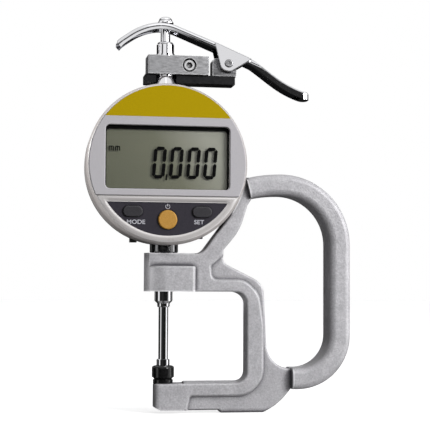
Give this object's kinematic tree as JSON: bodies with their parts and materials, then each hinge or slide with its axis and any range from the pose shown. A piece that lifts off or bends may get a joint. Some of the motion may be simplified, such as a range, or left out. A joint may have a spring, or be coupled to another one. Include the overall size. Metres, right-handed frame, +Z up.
{
  "type": "digital thickness gauge",
  "caption": "Hand-held thickness gauge: a cast C-frame with a D grip holds a round digital indicator, and a forked thumb lever lifts its spindle off a flat anvil.",
  "frame": {"origin": "on the spindle axis, in the plane of the anvil arm's flat underside", "axes": "+X from the spindle towards the hand grip, +Y away from the display, +Z up the spindle"},
  "size_m": [0.1196, 0.0282, 0.1767],
  "materials": {
    "frame_paint": "silver-grey textured paint on a sand-cast aluminium frame",
    "case_beige": "light beige-grey moulded case, semi-gloss",
    "panel_lilac": "lilac-grey printed face panel, satin",
    "panel_yellow": "yellow name plate, left bare",
    "keypad_slate": "dark slate keypad panel",
    "button_grey": "dark grey moulded button",
    "button_amber": "amber moulded button",
    "window": "clear display window",
    "lcd": "grey-green display cell",
    "black_plastic": "black moulded plastic",
    "black_rubber": "black rubber gasket",
    "chrome": "bright chrome plate",
    "ground_steel": "satin ground steel",
    "black_steel": "black oxide steel",
    "contact_black": "black polished contact face",
    "screw_steel": "zinc-plated screw",
    "spring_steel": "spring wire",
    "brass": "turned brass",
    "board_green": "green circuit board",
    "cell_steel": "coin cell can"
  },
  "bodies": {
    "gauge": {"frame_casting": "frame_paint", "clamp_shoe": "brass", "clamp_screw": "black_steel", "anvil": "contact_black", "stem": "chrome", "stem_bush": "brass", "stem_collar": "chrome", "upper_stem": "chrome", "upper_bush": "brass", "cap_washer": "chrome", "guide_cap": "chrome", "indicator_case": "case_beige", "face_panel": "panel_lilac", "name_plate": "panel_yellow", "window_glass": "window", "display_module": "lcd", "keypad_panel": "keypad_slate", "key_switches": "black_plastic", "circuit_board": "board_green", "guide_pin": "ground_steel", "encoder_head": "black_plastic", "spindle_spring": "spring_steel", "case_gasket": "black_rubber", "rear_housing": "black_plastic", "back_plate": "black_plastic", "back_screws": "screw_steel", "battery": "cell_steel", "battery_cover": "black_plastic", "clamp_block": "ground_steel", "block_screw": "screw_steel", "base_plate": "black_steel", "hinge_block": "ground_steel", "hinge_pin": "screw_steel"},
    "spindle": {"spindle": "chrome", "contact_point": "contact_black", "contact_ring": "chrome", "lift_nut": "chrome", "scale_carrier": "ground_steel", "encoder_scale": "board_green"},
    "lever": {"lever": "chrome"},
    "mode_key": {"mode_button": "button_grey"},
    "set_key": {"set_button": "button_grey"},
    "power_key": {"power_button": "button_amber"}
  },
  "joints": [
    {"name": "lever_pivot", "type": "hinge", "parent": "gauge", "child": "lever", "pos_m": [0.028, 0, 0.1546], "axis": [0, 1, 0], "range_deg": [0, 38]},
    {"name": "spindle_slide", "type": "slide", "parent": "gauge", "child": "spindle", "axis": [0, 0, 1], "range_m": [0, 0.02], "stiffness_N_per_m": 8, "springref_m": -0.05, "deforming": ["spindle_spring"]},
    {"name": "mode_press", "type": "slide", "parent": "gauge", "child": "mode_key", "axis": [0, 1, 0], "range_m": [0, 0.0005], "stiffness_N_per_m": 400, "springref_m": -0.001},
    {"name": "set_press", "type": "slide", "parent": "gauge", "child": "set_key", "axis": [0, 1, 0], "range_m": [0, 0.0005], "stiffness_N_per_m": 400, "springref_m": -0.001},
    {"name": "power_press", "type": "slide", "parent": "gauge", "child": "power_key", "axis": [0, 1, 0], "range_m": [0, 0.0005], "stiffness_N_per_m": 400, "springref_m": -0.001}
  ],
  "couplings": [
    {"joint": "spindle_slide", "follows": "lever_pivot", "m_per_rad": 0.03}
  ]
}
